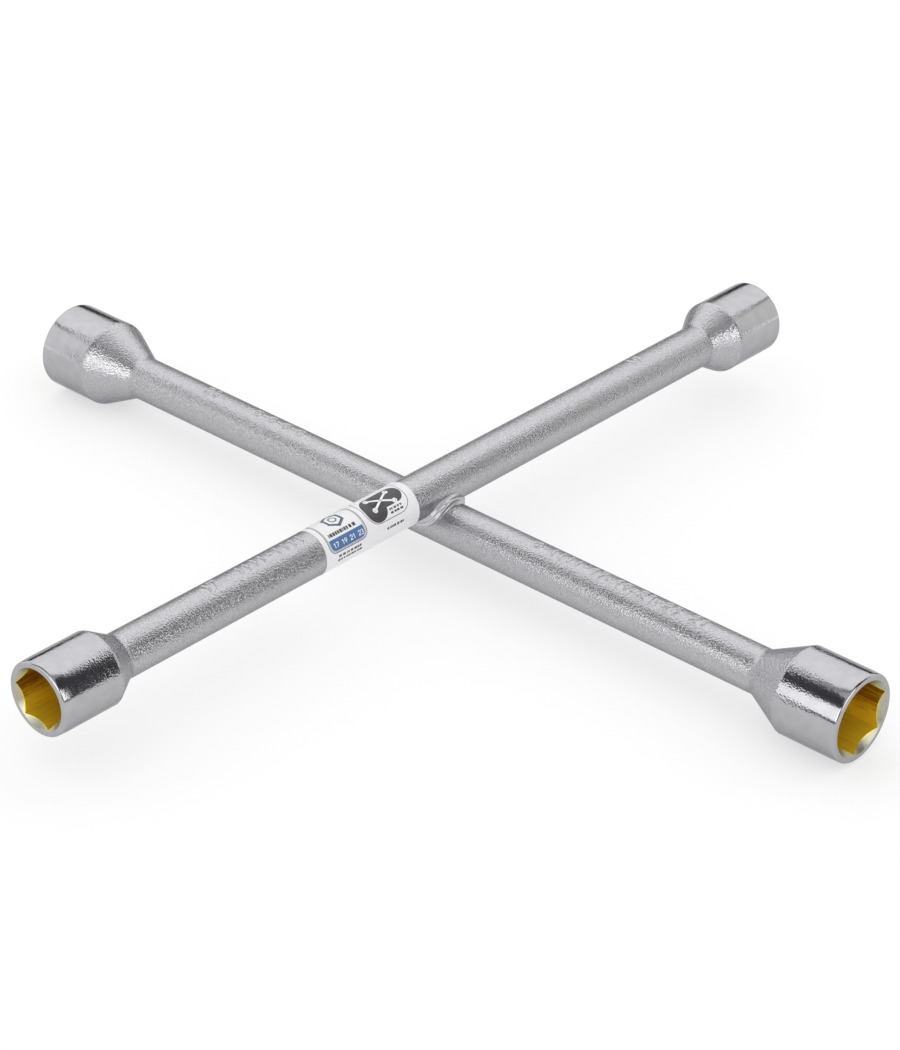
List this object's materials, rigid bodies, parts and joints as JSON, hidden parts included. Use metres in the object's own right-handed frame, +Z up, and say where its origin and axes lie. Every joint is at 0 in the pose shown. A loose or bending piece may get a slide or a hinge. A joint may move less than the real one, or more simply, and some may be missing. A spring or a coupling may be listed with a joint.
{
  "type": "lug wrench",
  "caption": "Four-way cross wheel wrench: two round steel bars welded at mid-length, each end a forged hexagon socket for wheel nuts, with a label round one bar.",
  "frame": {"origin": "on the ground straight below the crossing of the two bars, with the cross lying flat on its largest socket", "axes": "+X along the lower bar towards the 21 mm socket, +Y along the upper bar towards the 19 mm socket, +Z up"},
  "size_m": [0.342, 0.34, 0.038],
  "materials": {
    "satin_bar": "blasted and chrome plated, satin",
    "forged_socket": "satin cone and neck with a turned, polished chrome cylinder",
    "polished_chrome": "turned and polished chrome plate",
    "hexagon_lacquer": "yellow lacquer over the broached hexagon",
    "weld_metal": "plated weld bead, rippled",
    "label_vinyl": "white vinyl, slightly glossy",
    "label_ink_dark": "printed dark ink",
    "label_ink_blue": "printed blue ink"
  },
  "bodies": {
    "root": {"lower_bar": "satin_bar", "upper_bar": "satin_bar", "socket_17": "forged_socket", "socket_19": "forged_socket", "socket_21": "forged_socket", "socket_23": "forged_socket", "weld_bead_right": "weld_metal", "weld_bead_left": "weld_metal", "label": "label_vinyl"}
  },
  "joints": []
}
